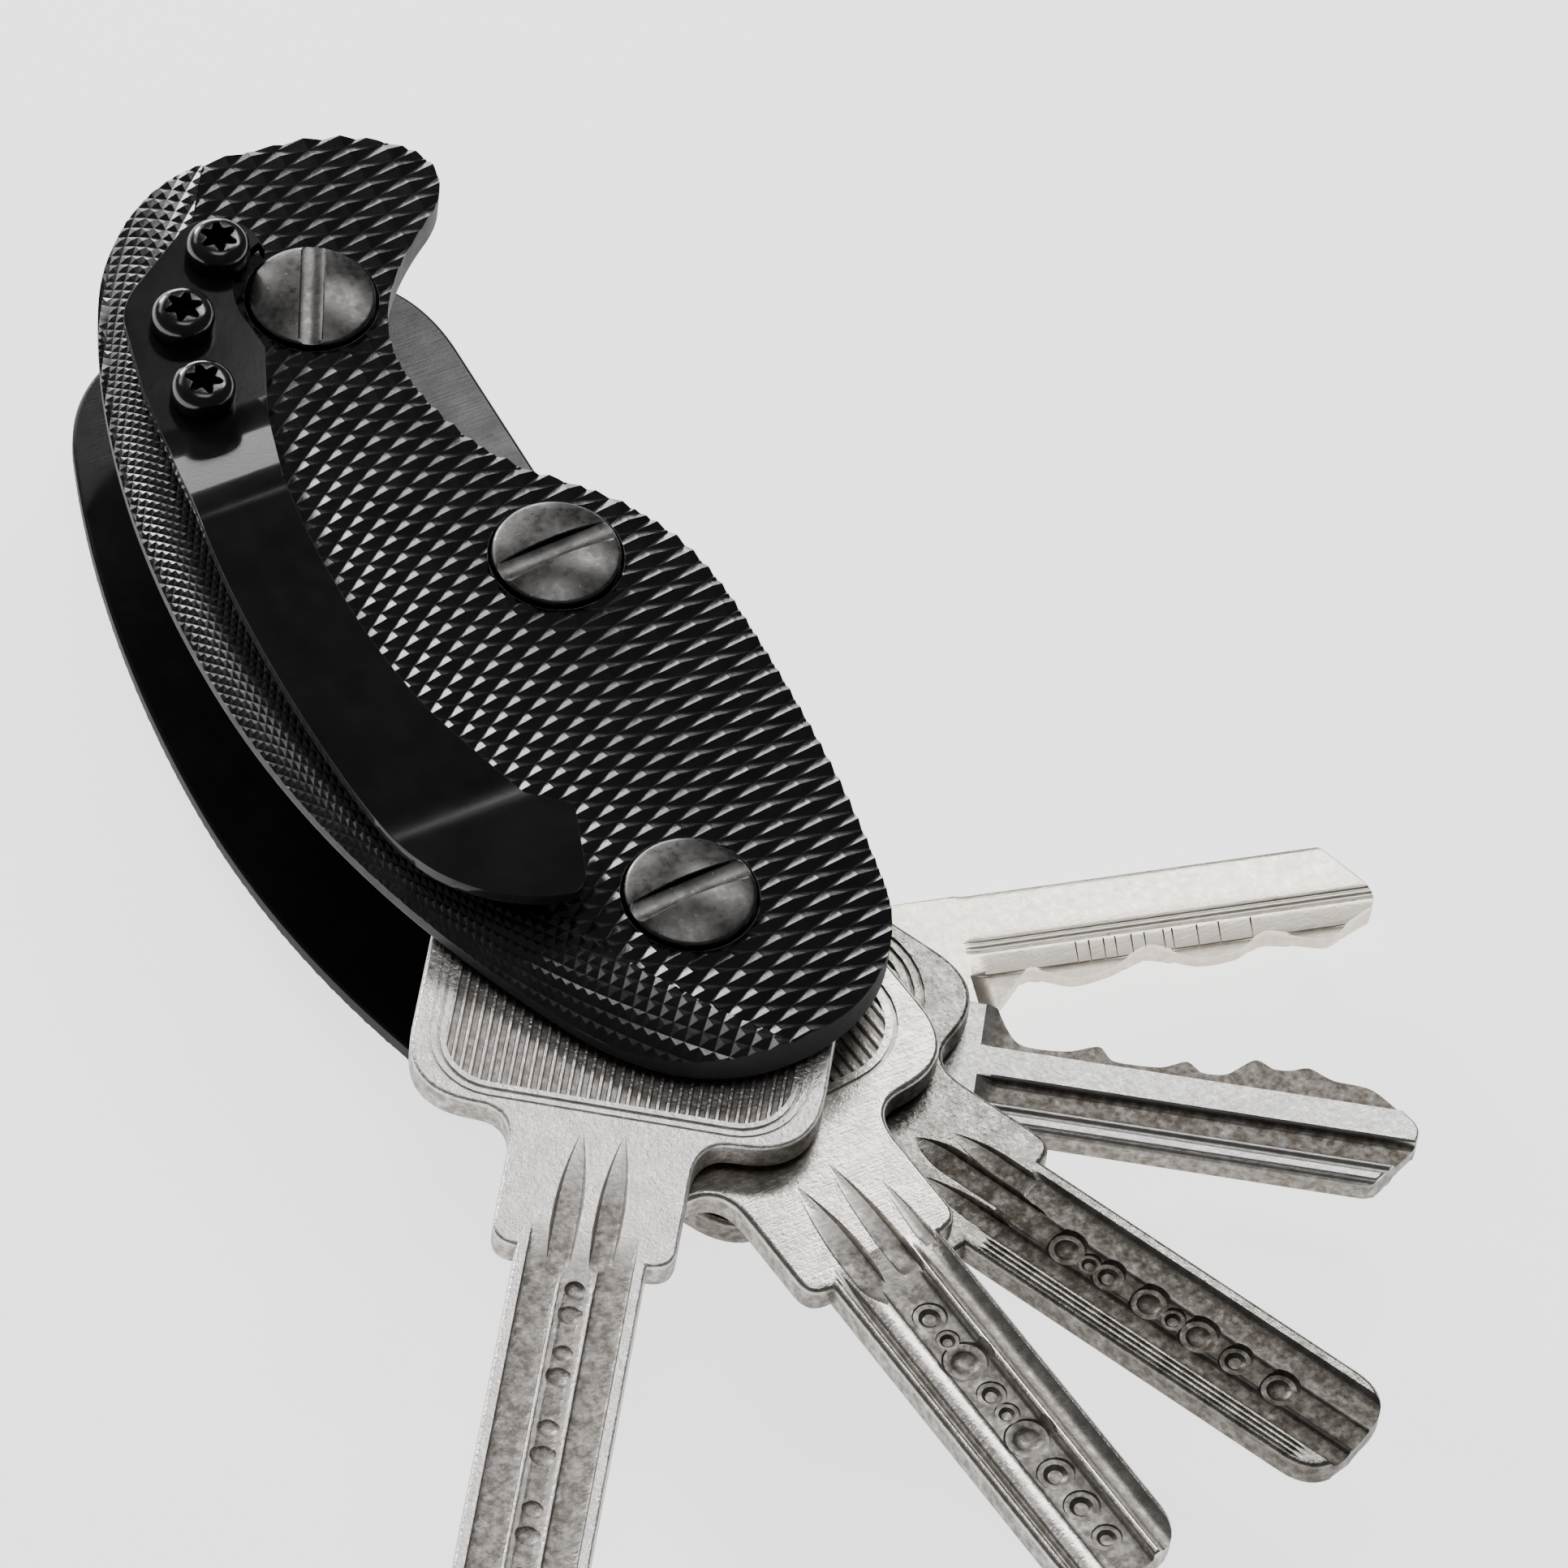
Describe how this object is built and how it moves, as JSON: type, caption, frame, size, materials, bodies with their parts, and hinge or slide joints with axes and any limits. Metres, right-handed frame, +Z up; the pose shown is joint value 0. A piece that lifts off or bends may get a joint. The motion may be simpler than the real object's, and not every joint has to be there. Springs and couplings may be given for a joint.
{
  "type": "key organiser",
  "caption": "Pocket key organiser: two contoured textured metal plates on screw posts hold flat keys that swing out on one post, with a spring pocket clip and a hooked notch.",
  "frame": {"origin": "centre of the lower post's flat rear head, the face the organiser lies on", "axes": "+Z up out of the front plate, +Y along the organiser from the lower post to the upper post, +X towards the notched side"},
  "size_m": [0.084, 0.1221, 0.0237],
  "materials": {
    "front_plate": "black anodised, cut all over in sharp diamond pyramids",
    "back_plate": "black anodised, smooth satin inside and diamond-cut outside",
    "post_steel": "dark gunmetal, turned",
    "screw_steel": "dark gunmetal, worn, low dome with one slot",
    "clip_steel": "black satin with bright worn edges",
    "clip_screw_steel": "glossy black oxide",
    "washer_steel": "plain turned steel",
    "key_front": "nickel silver, sandblasted",
    "key_second": "nickel plated, polished by handling",
    "key_third": "nickel plated, dull with grime in the hollows",
    "key_fourth": "nickel plated, worn, grime in the groove",
    "key_rear": "warm bright nickel silver"
  },
  "bodies": {
    "frame": {"front_plate": "front_plate", "back_plate": "back_plate", "lower_post_barrel": "post_steel", "middle_post_barrel": "post_steel", "upper_post_barrel": "post_steel", "lower_post_screw": "screw_steel", "middle_post_screw": "screw_steel", "upper_post_screw": "screw_steel", "pocket_clip": "clip_steel", "clip_screw_top": "clip_screw_steel", "clip_screw_middle": "clip_screw_steel", "clip_screw_bottom": "clip_screw_steel", "middle_spacer": "washer_steel", "upper_spacer": "washer_steel", "key_washer_1": "washer_steel", "key_washer_2": "washer_steel", "key_washer_3": "washer_steel", "key_washer_4": "washer_steel", "key_washer_5": "washer_steel", "key_washer_6": "washer_steel"},
    "front_key": {"key_front_dimple": "key_front"},
    "second_key": {"key_second_dimple": "key_second"},
    "third_key": {"key_third_dimple": "key_third"},
    "fourth_key": {"key_fourth_cut": "key_fourth"},
    "rear_key": {"key_rear_cut": "key_rear"}
  },
  "joints": [
    {"name": "front_key_swing", "type": "hinge", "parent": "frame", "child": "front_key", "pos_m": [0, 0, 0.0158], "axis": [0, 0, 1], "range_deg": [-126, 191]},
    {"name": "second_key_swing", "type": "hinge", "parent": "frame", "child": "second_key", "pos_m": [0, 0, 0.0132], "axis": [0, 0, 1], "range_deg": [-169, 148]},
    {"name": "third_key_swing", "type": "hinge", "parent": "frame", "child": "third_key", "pos_m": [0, 0, 0.0106], "axis": [0, 0, 1], "range_deg": [-191, 126]},
    {"name": "fourth_key_swing", "type": "hinge", "parent": "frame", "child": "fourth_key", "pos_m": [0, 0, 0.008], "axis": [0, 0, 1], "range_deg": [-221, 102]},
    {"name": "rear_key_swing", "type": "hinge", "parent": "frame", "child": "rear_key", "pos_m": [0, 0, 0.0054], "axis": [0, 0, 1], "range_deg": [-253, 72]}
  ]
}
